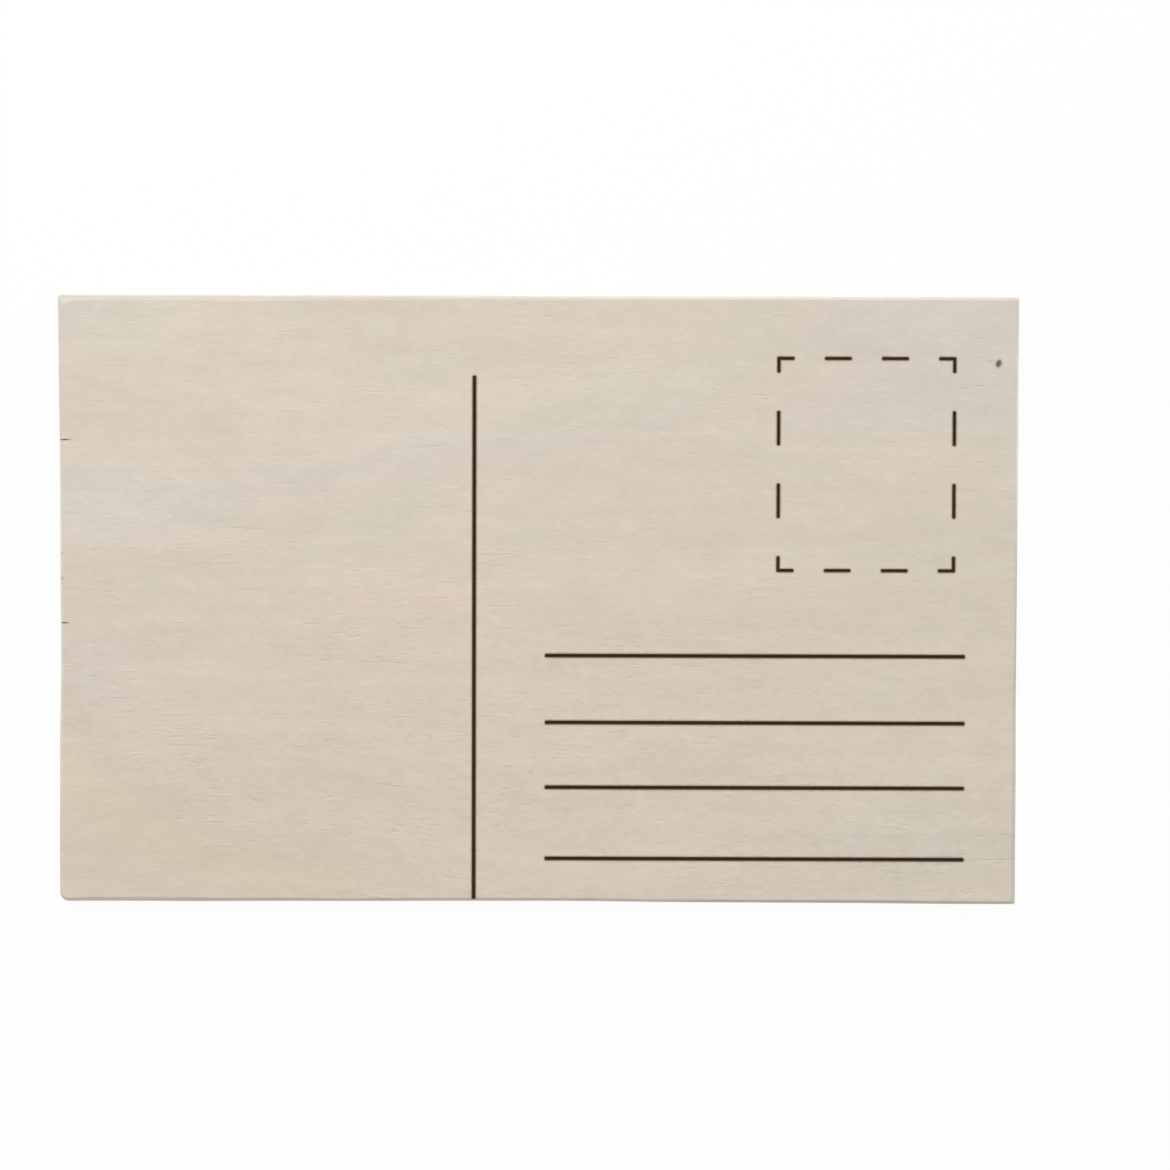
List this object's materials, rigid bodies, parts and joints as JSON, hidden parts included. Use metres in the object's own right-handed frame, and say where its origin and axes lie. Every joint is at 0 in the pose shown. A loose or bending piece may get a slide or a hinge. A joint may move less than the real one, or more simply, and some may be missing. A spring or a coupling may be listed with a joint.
{
  "type": "wooden postcard",
  "caption": "Flat plywood postcard with a burnt divider, ruled address lines and a dashed stamp frame, for writing, posting or decorating",
  "frame": {"origin": "under the middle of the card, on its bare picture side, where it lies on a table", "axes": "+X along the length and the grain, +Y to the top edge, +Z out of the address side"},
  "size_m": [0.15, 0.095, 0.003],
  "materials": {
    "face_wood": "matte",
    "core_wood": "matte",
    "glue": "matte",
    "char": "matte",
    "knot_wood": "matte"
  },
  "bodies": {
    "root": {"front_veneer": "face_wood", "back_veneer": "face_wood", "core_veneer": "core_wood", "pin_knot": "knot_wood", "front_glue_line": "glue", "back_glue_line": "glue", "divider_rule": "char", "address_rule_1": "char", "address_rule_2": "char", "address_rule_3": "char", "address_rule_4": "char", "stamp_corner_top_left": "char", "stamp_corner_top_right": "char", "stamp_corner_bottom_left": "char", "stamp_corner_bottom_right": "char", "stamp_dash_top_1": "char", "stamp_dash_top_2": "char", "stamp_dash_bottom_1": "char", "stamp_dash_bottom_2": "char", "stamp_dash_left_1": "char", "stamp_dash_left_2": "char", "stamp_dash_right_1": "char", "stamp_dash_right_2": "char"}
  },
  "joints": []
}
